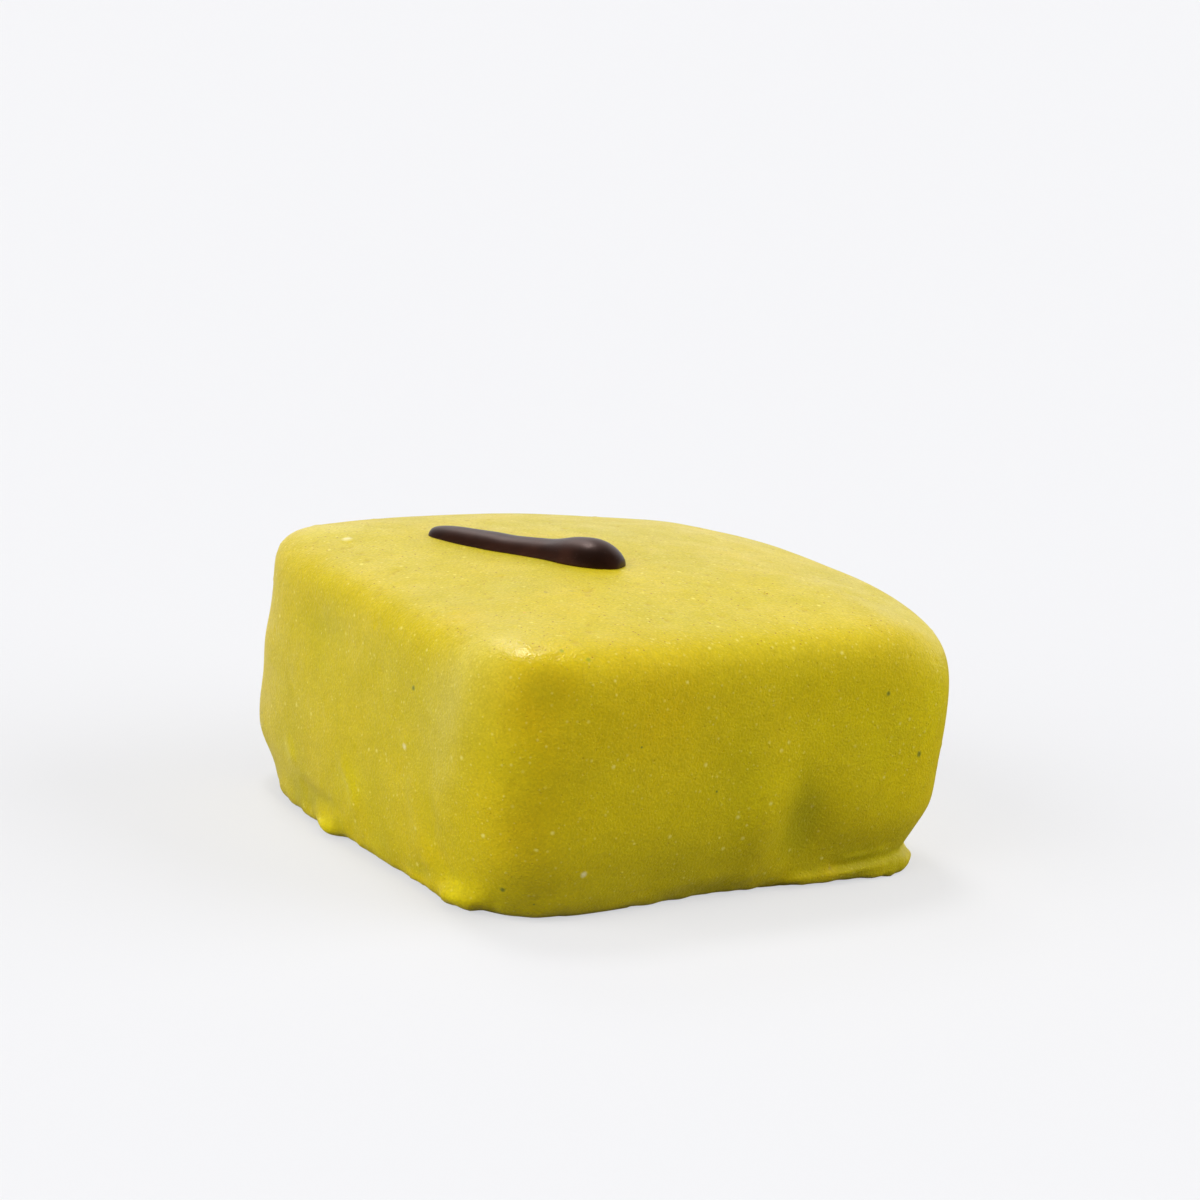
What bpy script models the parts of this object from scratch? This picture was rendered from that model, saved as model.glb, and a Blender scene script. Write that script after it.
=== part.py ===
"""An apple panellet: a square marzipan sweet in a yellow-green coating, with a piped chocolate stem on top.

Metres, +Z up. The sweet rests on z = 0 and its origin is under its middle. The two faces that meet at
its near corner look along -X and -Y. A bearing is an angle round the middle, from +X towards +Y, so
the near corner lies at 225 degrees.
"""

import math

import bmesh
import bpy
from mathutils import Vector, noise

MM = 0.001

# The dipped block
SIDE_X = 36.0 * MM
SIDE_Y = 35.2 * MM
WALL_SQUARENESS = 5.0
NEAR_SQUARENESS = 8.0
NEAR_BEARING = math.radians(225)
NEAR_SPREAD = math.radians(35)
TOP_SQUARENESS = 8.0
TOP_SHARE = 0.75
HEIGHT = 18.2 * MM
CROWN = 1.8 * MM
EDGE_DROP = 3.6 * MM
EDGE_FLATNESS = 20.0
EDGE_ROUNDNESS = 2.8
UNDERCUT = 1.5 * MM
BELLY_HEIGHT = 7.6 * MM
BLOCK_STEPS = 128
WALL_RINGS = 14
WALL_CROWDING = 1.8
EDGE_RINGS = 9
EDGE_TURN = math.radians(81)
TOP_RINGS = 4
CORNER_CROWDING = 0.25

# Where the coating pooled round the base: bearing and spread in degrees, reach and thickness in mm
FOOT_HEIGHT = 1.6 * MM
FOOT_STEEPNESS = 4
FOOT_LOBES = (
    (312, 13, 1.2, 0.8),
    (294, 8, 0.8, 0.6),
    (266, 20, -0.5, 1.0),
    (215, 4, 1.0, 1.3),
    (205, 5, 0.9, 0.6),
    (192, 4, 0.3, 0.8),
    (171, 4, 1.1, 1.5),
    (161, 6, 0.6, 0.6),
    (150, 7, 0.5, 1.2),
    (122, 7, 0.7, 0.7),
    (88, 5, 0.9, 1.1),
    (52, 14, 0.6, 0.7),
    (14, 5, 0.8, 1.2),
    (346, 6, 0.5, 0.7),
)

# Lumps and hollows of the dipped surface, in mm: place x, y, z, spread along, spread up, height
LUMPS = (
    # The left corner: sharp at the top, pinched below it, and bulging over its undercut
    (-16.5, 16.0, 16.4, 3.5, 2.6, 0.35),
    (-16.5, 16.0, 13.4, 4.0, 2.5, -0.4),
    (-16.5, 16.0, 4.2, 4.0, 2.0, 0.9),
    (-17.0, 15.5, 1.8, 4.0, 1.2, -0.3),
    # The face towards -X: a hollow high up, a fuller base, and the ridge where the near corner starts
    (-18.0, 5.0, 13.4, 5.0, 2.2, -0.5),
    (-16.6, -2.0, 0.0, 12.0, 3.4, 0.8),
    (-17.8, -12.3, 11.5, 1.6, 5.0, 0.22),
    # The near corner: a dent under the top edge, a fainter one below, and a base that curves in
    (-15.1, -16.7, 14.4, 2.0, 2.0, -0.4),
    (-15.7, -16.7, 6.2, 1.8, 1.8, -0.2),
    (-16.4, -16.4, 0.4, 3.0, 2.2, -0.6),
    # The face towards -Y: a drip, the hollow beside it, and a base that curves in
    (1.1, -17.8, 6.8, 1.3, 4.6, 0.45),
    (4.2, -17.2, 4.6, 2.0, 3.4, -0.75),
    (-3.0, -17.4, 1.0, 8.0, 2.6, -0.4),
    (8.5, -17.2, 1.6, 3.0, 1.8, -0.4),
    # The right corner: soft at the top, full down its height and over its undercut
    (16.3, -16.3, 16.6, 4.5, 2.6, -1.2),
    (16.5, -11.5, 17.2, 4.5, 2.6, -0.5),
    (16.3, -16.3, 11.5, 5.0, 6.0, 0.4),
    (15.5, -16.0, 4.2, 4.0, 1.6, 0.35),
    # The top: a slumped far corner, and a full left side
    (15.0, 15.0, 17.5, 9.0, 6.0, -0.8),
    (-4.0, 12.0, 18.0, 9.0, 4.0, 0.2),
    # The far faces: a drip and a hollow each
    (17.9, 5.0, 8.0, 1.6, 5.0, 0.30),
    (17.9, -3.0, 12.0, 5.0, 3.0, -0.25),
    (-4.0, 17.6, 6.0, 1.8, 4.0, 0.30),
    (8.0, 17.6, 11.0, 4.0, 3.5, -0.25),
)
UNEVENNESS = 0.10 * MM
UNEVENNESS_SIZE = 9 * MM

# The piped stem, from the blob where the nozzle touched down to the tail where it lifted off
STEM_HEAD = (-2.3 * MM, -4.6 * MM)
STEM_TAIL = (-8.9 * MM, 7.3 * MM)
STEM_BOW = 0.5 * MM
STEM_WIDTH = 2.3 * MM
STEM_RISE = 0.8 * MM
BLOB_WIDTH = 3.9 * MM
BLOB_RISE = 1.62 * MM
BLOB_PLACE = 0.13
BLOB_SPREAD = 0.17
STEM_BLUNTNESS = 0.45
STEM_RINGS = 28
STEM_STEPS = 20
SEAT_GAP = 0.3 * MM

WELD_DISTANCE = 0.001 * MM

COATING_COLOUR = (0.60, 0.47, 0.012, 1)
COATING_ROUGHNESS = 0.42
CHOCOLATE_COLOUR = (0.045, 0.018, 0.012, 1)
CHOCOLATE_ROUGHNESS = 0.3


def finish(name, colour, roughness):
    """A plain material: colour and roughness, no metal."""
    material = bpy.data.materials.new(name)
    material.use_nodes = True
    shader = material.node_tree.nodes["Principled BSDF"]
    shader.inputs["Base Color"].default_value = colour
    shader.inputs["Roughness"].default_value = roughness
    shader.inputs["Metallic"].default_value = 0.0
    return material


def outline_reach(bearing, share):
    """Distance from the middle to the outline.

    The outline is a square with round corners, sharper at the near corner and towards the top face.
    """
    away = ((bearing - NEAR_BEARING + math.pi) % math.tau - math.pi) / NEAR_SPREAD
    wall = WALL_SQUARENESS + (NEAR_SQUARENESS - WALL_SQUARENESS) * math.exp(-(away**2))
    inward = min((1 - share) / (1 - TOP_SHARE), 1.0)
    squareness = wall + (TOP_SQUARENESS - wall) * inward
    across = abs(math.cos(bearing)) / (SIDE_X / 2)
    along = abs(math.sin(bearing)) / (SIDE_Y / 2)
    return (across**squareness + along**squareness) ** (-1 / squareness)


def top_height(share):
    """Height of the crowned top and its soft edge, at a share of the way from the middle to the outline."""
    edge = 1 - (1 - share**EDGE_FLATNESS) ** (1 / EDGE_ROUNDNESS)
    return HEIGHT - CROWN * share**2 - EDGE_DROP * edge


def block_profile():
    """The block's half section, as shares of the outline and heights, from the base's middle to the top's."""
    points = [(0.0, 0.0)]
    wall_top = top_height(1.0)
    for i in range(WALL_RINGS):
        height = wall_top * (i / WALL_RINGS) ** WALL_CROWDING
        inset = UNDERCUT * max(1 - height / BELLY_HEIGHT, 0.0) ** 2
        points.append((1 - inset / (SIDE_X / 2), height))
    for i in range(EDGE_RINGS + 1):
        share = math.cos(EDGE_TURN * i / EDGE_RINGS) ** (2 / EDGE_FLATNESS)
        points.append((share, top_height(share)))
    edge_end = points[-1][0]
    for i in range(1, TOP_RINGS + 1):
        share = edge_end * (1 - i / TOP_RINGS)
        points.append((share, top_height(share)))
    return points


def turned(profile, steps):
    """A closed solid of revolution about Z, from a profile of (radius, height) points."""
    bm = bmesh.new()
    verts = [bm.verts.new((radius, 0.0, height)) for radius, height in profile]
    edges = [bm.edges.new(pair) for pair in zip(verts, verts[1:])]
    bmesh.ops.spin(
        bm, geom=verts + edges, cent=(0, 0, 0), axis=(0, 0, 1), angle=2 * math.pi, steps=steps, use_merge=True
    )
    bmesh.ops.remove_doubles(bm, verts=bm.verts[:], dist=WELD_DISTANCE)
    bmesh.ops.recalc_face_normals(bm, faces=bm.faces[:])
    return bm


def foot_reach(place):
    """How far the pooled coating stands out from the base at a place."""
    bearing = math.degrees(math.atan2(place.y, place.x))
    reach = 0.0
    for middle, spread, out, thickness in FOOT_LOBES:
        away = ((bearing - middle + 180) % 360 - 180) / spread
        above = place.z / (thickness * MM)
        reach += out * MM * math.exp(-(away**2) - above**FOOT_STEEPNESS)
    return reach


def relief(place):
    """How far the coating stands out from the plain form at a place on it."""
    out = foot_reach(place) + UNEVENNESS * noise.noise(place / UNEVENNESS_SIZE)
    for x, y, z, along, up, height in LUMPS:
        away = math.hypot(place.x - x * MM, place.y - y * MM) / (along * MM)
        above = (place.z - z * MM) / (up * MM)
        out += height * MM * math.exp(-(away**2) - above**2)
    return out


def new_object(name, bm, material):
    """Puts a finished shape into the scene as a smooth object."""
    mesh = bpy.data.meshes.new(name)
    bm.to_mesh(mesh)
    bm.free()
    mesh.materials.append(material)
    mesh.shade_smooth()
    bpy.context.scene.collection.objects.link(bpy.data.objects.new(name, mesh))


def dipped_block():
    """A turned pillow pressed square, then given the unevenness of the dip and the pooled foot."""
    bm = turned(block_profile(), BLOCK_STEPS)
    for vert in bm.verts:
        share = math.hypot(vert.co.x, vert.co.y)
        turn = math.atan2(vert.co.y, vert.co.x)
        bearing = turn + CORNER_CROWDING * math.sin(4 * turn) / 4
        reach = outline_reach(bearing, share if vert.co.z > BELLY_HEIGHT else 1.0) * share
        vert.co.x = reach * math.cos(bearing)
        vert.co.y = reach * math.sin(bearing)
    bm.normal_update()
    moves = []
    for vert in bm.verts:
        push = vert.normal.copy()
        if vert.co.z < FOOT_HEIGHT:
            push.z = 0.0
        moves.append(push * relief(vert.co))
    for vert, move in zip(bm.verts, moves):
        vert.co += move
    new_object("coated_block", bm, finish("fruit_coating", COATING_COLOUR, COATING_ROUGHNESS))


def blob(share, thin, thick):
    """A size along the stem, thin on its tail and thick at its blob."""
    swell = math.exp(-(((share - BLOB_PLACE) / BLOB_SPREAD) ** 2))
    return thin + (thick - thin) * swell


def piped_stem():
    """A turned bead laid along the top: its upper half stays round and its lower half is a flat seat."""
    profile = [(0.0, 0.0)]
    for i in range(1, STEM_RINGS):
        turn = math.pi * i / STEM_RINGS
        profile.append((math.sin(turn) ** STEM_BLUNTNESS, (1 - math.cos(turn)) / 2))
    profile.append((0.0, 1.0))
    bm = turned(profile, STEM_STEPS)
    head, tail = Vector(STEM_HEAD), Vector(STEM_TAIL)
    sideways = Vector((head.y - tail.y, tail.x - head.x)).normalized()
    for vert in bm.verts:
        share = vert.co.z
        bowed = STEM_BOW * 4 * share * (1 - share)
        across = bowed + vert.co.x * blob(share, STEM_WIDTH, BLOB_WIDTH) / 2
        rise = SEAT_GAP + max(vert.co.y, 0.0) * (blob(share, STEM_RISE, BLOB_RISE) - SEAT_GAP)
        spot = head.lerp(tail, share) + sideways * across
        reach = outline_reach(math.atan2(spot.y, spot.x), 0.0)
        vert.co = Vector((spot.x, spot.y, top_height(spot.length / reach) + rise))
    bmesh.ops.recalc_face_normals(bm, faces=bm.faces[:])
    new_object("chocolate_stem", bm, finish("dark_chocolate", CHOCOLATE_COLOUR, CHOCOLATE_ROUGHNESS))


for thing in list(bpy.data.objects):
    bpy.data.objects.remove(thing, do_unlink=True)
dipped_block()
piped_stem()
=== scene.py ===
# %% [markdown]
# # An apple panellet
#
# A panellet is a small marzipan sweet. This one is a soft square block, dipped in a yellow-green coating
# that tastes of apple. A short stroke of dark chocolate is piped on top, as the stem of the fruit.
#
# The lesson starts from a plain solid model of the sweet, the frame, which gives every size and place.
# It then makes the looks: the dipped skin with its crumbs and drips, the piped stem, and the finish of
# both. All lengths are in metres, and MM turns millimetres into them.

import math
import random

import bmesh
import bpy
from mathutils import Matrix, Vector, noise
from mathutils.bvhtree import BVHTree
from mathutils.kdtree import KDTree


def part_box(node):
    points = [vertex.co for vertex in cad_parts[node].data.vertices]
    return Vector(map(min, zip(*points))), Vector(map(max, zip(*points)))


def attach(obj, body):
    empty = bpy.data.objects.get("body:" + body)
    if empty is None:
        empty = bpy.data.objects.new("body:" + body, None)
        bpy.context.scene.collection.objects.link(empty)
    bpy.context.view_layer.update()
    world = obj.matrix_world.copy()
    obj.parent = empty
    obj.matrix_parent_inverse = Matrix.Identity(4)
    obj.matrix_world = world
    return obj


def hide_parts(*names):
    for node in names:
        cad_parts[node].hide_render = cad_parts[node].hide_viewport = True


MM = 0.001

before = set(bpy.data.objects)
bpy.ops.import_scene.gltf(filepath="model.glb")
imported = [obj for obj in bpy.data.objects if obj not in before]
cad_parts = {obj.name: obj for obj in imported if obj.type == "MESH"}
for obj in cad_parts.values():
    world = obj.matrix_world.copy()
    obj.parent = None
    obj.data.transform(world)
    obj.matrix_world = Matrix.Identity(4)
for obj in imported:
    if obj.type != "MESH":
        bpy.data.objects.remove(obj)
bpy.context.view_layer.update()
block_low, block_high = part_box("coated_block")
stem_low, stem_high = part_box("chocolate_stem")
print("block, mm:", [round(side / MM, 2) for side in block_high - block_low])
print("stem, mm:", [round(side / MM, 2) for side in stem_high - stem_low])

# %% [markdown]
# ## The camera
#
# The sweet is seen from a little above, with one corner nearest to the camera, through a long lens close
# by. The camera was also held slightly askew, so the sweet stands tilted in the frame. The camera looks
# at a point above the sweet, which is why the sweet stands low in the picture. Its place is worked out
# from angles and a distance, because those can be measured and changed one by one.

# %% The camera
IMAGE_SIDE = 1200
SENSOR_WIDTH = 36.0
VIEW_DISTANCE = 200 * MM
VIEW_BEARING = math.radians(-35.09)
VIEW_RISE = math.radians(15.23)
VIEW_ROLL = math.radians(5.26)
PIXELS_PER_MM = 15.58
LOOKED_AT = Vector((0, 0, 9 * MM))
LOOKED_AT_PIXEL = (598.4, 686.0)
SEEN_FROM = 10 * MM
SEEN_TO = 20.0


def make_camera():
    back = Vector(
        (
            math.sin(VIEW_BEARING) * math.cos(VIEW_RISE),
            -math.cos(VIEW_BEARING) * math.cos(VIEW_RISE),
            math.sin(VIEW_RISE),
        )
    )
    level = Vector((math.cos(VIEW_BEARING), math.sin(VIEW_BEARING), 0))
    right = Matrix.Rotation(VIEW_ROLL, 3, back) @ level
    up = back.cross(right)
    beside = (IMAGE_SIDE / 2 - LOOKED_AT_PIXEL[0]) / PIXELS_PER_MM * MM
    above = (LOOKED_AT_PIXEL[1] - IMAGE_SIDE / 2) / PIXELS_PER_MM * MM
    eye = LOOKED_AT + back * VIEW_DISTANCE
    forward = (LOOKED_AT + right * beside + up * above - eye).normalized()
    right = forward.cross(up).normalized()
    turned = Matrix((right, right.cross(forward), -forward)).transposed()

    camera = bpy.data.objects.new("camera", bpy.data.cameras.new("camera"))
    camera.data.sensor_width = SENSOR_WIDTH
    camera.data.lens = SENSOR_WIDTH * PIXELS_PER_MM * VIEW_DISTANCE / MM / IMAGE_SIDE
    camera.data.clip_start = SEEN_FROM
    camera.data.clip_end = SEEN_TO
    camera.matrix_world = Matrix.Translation(eye) @ turned.to_4x4()
    bpy.context.scene.collection.objects.link(camera)
    bpy.context.scene.camera = camera
    return camera


camera = make_camera()
print("lens, mm:", round(camera.data.lens, 1))

# %% [markdown]
# ## Helpers for materials
#
# A material is a net of small nodes, each with sockets. A socket either has a value of its own or is fed by
# another node. The helpers below add one node each, feed it, and give back the socket with its result, so
# that a net can be written as plain steps. They serve the studio first, and then the sweet's two finishes.

# %% Helpers that add one node each
# The mask, the first, the second and the result, by their numbers on a Mix node
MIX_SOCKETS = {"FLOAT": (0, 2, 3, 0), "RGBA": (0, 6, 7, 2)}


def feed(tree, value, socket):
    """Links what comes from another node, and sets a plain number or colour."""
    if isinstance(value, bpy.types.NodeSocket):
        tree.links.new(value, socket)
    else:
        socket.default_value = value


def math_node(tree, operation, *values):
    node = tree.nodes.new("ShaderNodeMath")
    node.operation = operation
    for value, socket in zip(values, node.inputs):
        feed(tree, value, socket)
    return node.outputs["Value"]


def vector_math(tree, operation, first, second):
    node = tree.nodes.new("ShaderNodeVectorMath")
    node.operation = operation
    feed(tree, first, node.inputs[0])
    feed(tree, second, node.inputs[1])
    return node.outputs["Value"]


def map_range(tree, value, sources, targets, interpolation="LINEAR"):
    """Takes the first source to the first target, the second to the second, and what lies between too."""
    node = tree.nodes.new("ShaderNodeMapRange")
    node.interpolation_type = interpolation
    names = ("Value", "From Min", "From Max", "To Min", "To Max")
    for name, given in zip(names, (value, *sources, *targets)):
        feed(tree, given, node.inputs[name])
    return node.outputs["Result"]


def blend(tree, mask, first, second, kind="RGBA"):
    """The first colour or number where the mask is 0, and the second where it is 1."""
    node = tree.nodes.new("ShaderNodeMix")
    node.data_type = kind
    *sockets, result = MIX_SOCKETS[kind]
    for value, socket in zip((mask, first, second), sockets):
        feed(tree, value, node.inputs[socket])
    return node.outputs[result]


print("kinds of blend:", list(MIX_SOCKETS))

# %% [markdown]
# ## The studio
#
# The picture has a pale ground with no visible edge, and soft light: two large soft boxes stand low on the
# left and on the right, three small lamps overhead give the glints, and the rest comes from all round. Sun
# lamps with a wide disc do for these, because they light a large floor evenly, which a nearby area lamp
# would not. The floor is pale to the camera, and partly lit from below like a light table, which keeps the
# sweet's shadow on it faint. It gives back less light than that, as a grey table would, or it would wash
# out the shade low on the sweet. Mirrored in the sweet, it carries painted light: it is painted pale on the
# far left, where the light lies on it, and painted dark on the near right.

# %% The floor's finish
FLOOR_SEEN = (0.30, 0.30, 0.306, 1)
FLOOR_GLOW = 0.582
FLOOR_GLOW_COLOUR = (0.98, 0.98, 1.0, 1)
FLOOR_GIVEN_BACK = (0.15, 0.15, 0.15, 1)
FLOOR_ROUGHNESS = 0.9
MIRRORED_PAINTED_SHADE = 0.04
MIRRORED_PAINTED_LIGHT = 0.80
MIRRORED_FROM = (-0.6, 0.8, 0.0)
MIRRORED_OVER = 30 * MM


def floor_finish():
    material = bpy.data.materials.new("pale_floor")
    material.use_nodes = True
    tree = material.node_tree
    shader = tree.nodes["Principled BSDF"]
    rays = tree.nodes.new("ShaderNodeLightPath").outputs
    place = tree.nodes.new("ShaderNodeTexCoord").outputs["Object"]
    # Painted light, seen only in reflections: pale towards the far left, where the light lies, dark towards
    # the near right
    toward_painted_light = vector_math(tree, "DOT_PRODUCT", place, MIRRORED_FROM)
    mirrored = map_range(tree, toward_painted_light, (-MIRRORED_OVER, MIRRORED_OVER), (MIRRORED_PAINTED_SHADE, MIRRORED_PAINTED_LIGHT))
    colour = blend(tree, rays["Is Glossy Ray"], FLOOR_GIVEN_BACK, mirrored)
    colour = blend(tree, rays["Is Camera Ray"], colour, FLOOR_SEEN)
    tree.links.new(colour, shader.inputs["Base Color"])
    glow = math_node(tree, "MULTIPLY", rays["Is Camera Ray"], FLOOR_GLOW)
    tree.links.new(glow, shader.inputs["Emission Strength"])
    shader.inputs["Emission Color"].default_value = FLOOR_GLOW_COLOUR
    shader.inputs["Roughness"].default_value = FLOOR_ROUGHNESS
    shader.inputs["Specular IOR Level"].default_value = 0.0
    return material


print("floor seen as", FLOOR_SEEN[:3], "and giving back", FLOOR_GIVEN_BACK[:3])

# %% The floor
FLOOR_RADIUS = 4.0
FLOOR_DEPTH = 0.02 * MM
FLOOR_SIDES = 64


def make_floor():
    bm = bmesh.new()
    below = Matrix.Translation((0, 0, -FLOOR_DEPTH))
    bmesh.ops.create_circle(bm, cap_ends=True, segments=FLOOR_SIDES, radius=FLOOR_RADIUS, matrix=below)
    mesh = bpy.data.meshes.new("floor")
    bm.to_mesh(mesh)
    bm.free()
    mesh.materials.append(floor_finish())
    floor = bpy.data.objects.new("floor", mesh)
    bpy.context.scene.collection.objects.link(floor)


make_floor()
print("floor, m across:", 2 * FLOOR_RADIUS)

# %% The lamps: strength, degrees across, where they shine from, whether they light and are mirrored
LAMPS = {
    "left_soft_box": (2.7, 60, (-0.94, 0.0, 0.34), True, False),
    "right_soft_box": (2.6, 60, (0.81, -0.48, 0.34), True, False),
    "overhead_lamp": (0.8, 14, (0.02, 0.32, 0.95), True, True),
    "strip_lamp": (0.25, 18, (0.12, 0.66, 0.74), True, True),
    "glint_lamp": (0.32, 9, (0.02, 0.32, 0.95), False, True),
}


def make_lamp(name, strength, across, shines_from, lights, mirrored):
    lamp = bpy.data.lights.new(name, "SUN")
    lamp.energy = strength
    lamp.angle = math.radians(across)
    sun = bpy.data.objects.new(name, lamp)
    sun.rotation_euler = Vector(shines_from).to_track_quat("Z", "Y").to_euler()
    sun.visible_diffuse = lights
    sun.visible_glossy = mirrored
    bpy.context.scene.collection.objects.link(sun)


for name, values in LAMPS.items():
    make_lamp(name, *values)
print("lamps:", list(LAMPS))

# %% [markdown]
# A studio's lit backdrop stands behind the table, and the room behind the camera is dark. A satin surface
# shows that: its top mirrors the backdrop as a pale haze, and its front mirrors the dark room. So the
# world is bright to the camera, and in reflections it fades from the backdrop to the room. As a light it
# is even.

# %% The backdrop and the room
BACKDROP_COLOUR = (0.93, 0.935, 0.95, 1)
BACKDROP_SHOWN = 1.0
BACKDROP_MIRRORED = 1.3
BACKDROP_LIGHT = 0.32
ROOM_MIRRORED = 0.04
ROOM_ENDS_AT = 0.1
BACKDROP_STARTS_AT = 0.8
BEHIND_TABLE = (-math.sin(VIEW_BEARING), math.cos(VIEW_BEARING), 0.0)


def make_world():
    world = bpy.data.worlds.new("studio")
    world.use_nodes = True
    tree = world.node_tree
    rays = tree.nodes.new("ShaderNodeLightPath").outputs
    looked_along = tree.nodes.new("ShaderNodeTexCoord").outputs["Generated"]
    facing = vector_math(tree, "DOT_PRODUCT", looked_along, BEHIND_TABLE)
    mirrored = map_range(
        tree, facing, (ROOM_ENDS_AT, BACKDROP_STARTS_AT), (ROOM_MIRRORED, BACKDROP_MIRRORED), "SMOOTHSTEP"
    )
    strength = blend(tree, rays["Is Glossy Ray"], BACKDROP_LIGHT, mirrored, "FLOAT")
    strength = blend(tree, rays["Is Camera Ray"], strength, BACKDROP_SHOWN, "FLOAT")
    light = tree.nodes["Background"]
    light.inputs["Color"].default_value = BACKDROP_COLOUR
    tree.links.new(strength, light.inputs["Strength"])
    bpy.context.scene.world = world


make_world()
bpy.context.scene.view_settings.view_transform = "Standard"
print("backdrop shown and as a light:", BACKDROP_SHOWN, BACKDROP_LIGHT)

# %% [markdown]
# ## The dipped skin, step 1: an even mesh
#
# The frame's block already has the true form, but as a few thousand flat triangles. The skin needs small,
# even faces, so that crumbs and pits can be pushed out of it anywhere. A copy is merged, its triangles are
# joined into four-sided faces, and Subdivision Surface rounds them. Remesh then wraps the result in a
# regular net of tiny faces. That also removes the crowded point in the middle of the top, where a turned
# shape's faces all meet and would catch the light.

# %% An even mesh of the block
MERGE_DISTANCE = 0.002 * MM
FLAT_ENOUGH = math.radians(25)
SQUARE_ENOUGH = math.radians(60)
ROUNDING_LEVELS = 2
NET_SIZE = 0.25 * MM


def new_piece(name, mesh):
    piece = bpy.data.objects.new(name, mesh)
    bpy.context.scene.collection.objects.link(piece)
    return piece


def apply_modifiers(piece):
    """Replaces the piece's mesh by what its modifiers make of it."""
    depsgraph = bpy.context.evaluated_depsgraph_get()
    made = bpy.data.meshes.new_from_object(piece.evaluated_get(depsgraph))
    piece.modifiers.clear()
    piece.data = made
    made.name = piece.name


def merged_copy(node, name):
    """A copy of a frame node's mesh whose loose triangles are merged and joined into four-sided faces."""
    bm = bmesh.new()
    bm.from_mesh(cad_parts[node].data)
    bmesh.ops.remove_doubles(bm, verts=bm.verts[:], dist=MERGE_DISTANCE)
    bmesh.ops.join_triangles(
        bm, faces=bm.faces[:], angle_face_threshold=FLAT_ENOUGH, angle_shape_threshold=SQUARE_ENOUGH
    )
    mesh = bpy.data.meshes.new(name)
    bm.to_mesh(mesh)
    bm.free()
    return new_piece(name, mesh)


skin = merged_copy("coated_block", "dipped_coating")
rounding = skin.modifiers.new("rounding", "SUBSURF")
rounding.levels = ROUNDING_LEVELS
rounding.render_levels = ROUNDING_LEVELS
net = skin.modifiers.new("net", "REMESH")
net.mode = "VOXEL"
net.voxel_size = NET_SIZE
apply_modifiers(skin)
print("faces of the even skin:", len(skin.data.polygons))

# %% [markdown]
# ## The dipped skin, step 2: where the coating is thin
#
# A dipped coating runs off the edges and gathers in the hollows. Where it is thin the marzipan warms its
# colour. To find those places, a copy of the skin is smoothed many times: smoothing sinks an edge and
# fills a hollow, so how far each point moved along its normal says how sharp the place is. The first few
# rounds are kept, because they take the net's small steps out of the skin itself.

# %% Smoothing, and thin places
SMOOTHING = 0.5
STEP_ROUNDS = 8
THIN_ROUNDS = 50
FULLY_THIN = 0.16 * MM
FULLY_THICK = 0.07 * MM


def smooth(bm, rounds):
    for _ in range(rounds):
        bmesh.ops.smooth_vert(
            bm, verts=bm.verts[:], factor=SMOOTHING, use_axis_x=True, use_axis_y=True, use_axis_z=True
        )


def limited(value):
    return min(max(value, 0.0), 1.0)


bm = bmesh.new()
bm.from_mesh(skin.data)
smooth(bm, STEP_ROUNDS)
bmesh.ops.recalc_face_normals(bm, faces=bm.faces[:])
bm.normal_update()
points = [vert.co.copy() for vert in bm.verts]
normals = [vert.normal.copy() for vert in bm.verts]
smooth(bm, THIN_ROUNDS)
sunk = [(point - vert.co).dot(normal) for point, vert, normal in zip(points, bm.verts, normals)]
thin = [limited(depth / FULLY_THIN) for depth in sunk]
thick = [limited(-depth / FULLY_THICK) for depth in sunk]
print("points:", len(points), "thin:", round(sum(thin)), "thick:", round(sum(thick)))

# %% [markdown]
# ## The dipped skin, step 3: folds, crumbs and pits
#
# A coating that sets on a crumbly block is never quite smooth. It has slow waves where it ran, folds where
# it piled up round the foot, raised crumbs of marzipan under the skin, and pits where bubbles burst. Each
# is a move of the skin's points along their normals. Waves come from Perlin noise, which flows without
# repeating. A fold is a line of points with a width and a height. Large crumbs have their own places, and
# the small ones are scattered with a seed, so that each run gives the same sweet. Last, the foot is drawn
# in just above the floor, because its lobes curl up a little at their rims and leave a dark gap.

# %% Slow and fine waves: size and height, and those of the foot
SKIN_WAVES = (
    (6.0 * MM, 0.060 * MM),
    (2.6 * MM, 0.014 * MM),
    (1.2 * MM, 0.007 * MM),
)
FOOT_WAVE_SIZE = 1.5 * MM
FOOT_WAVE_HEIGHT = 0.16 * MM
FOOT_REACH = 1.8 * MM


def wave_height(place):
    height = sum(height * noise.noise(place / size) for size, height in SKIN_WAVES)
    near_foot = math.exp(-((place.z / FOOT_REACH) ** 2))
    return height + FOOT_WAVE_HEIGHT * near_foot * noise.noise(place / FOOT_WAVE_SIZE)


print("waves of up to, mm:", round(sum(height for _, height in SKIN_WAVES) / MM, 3))

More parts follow.
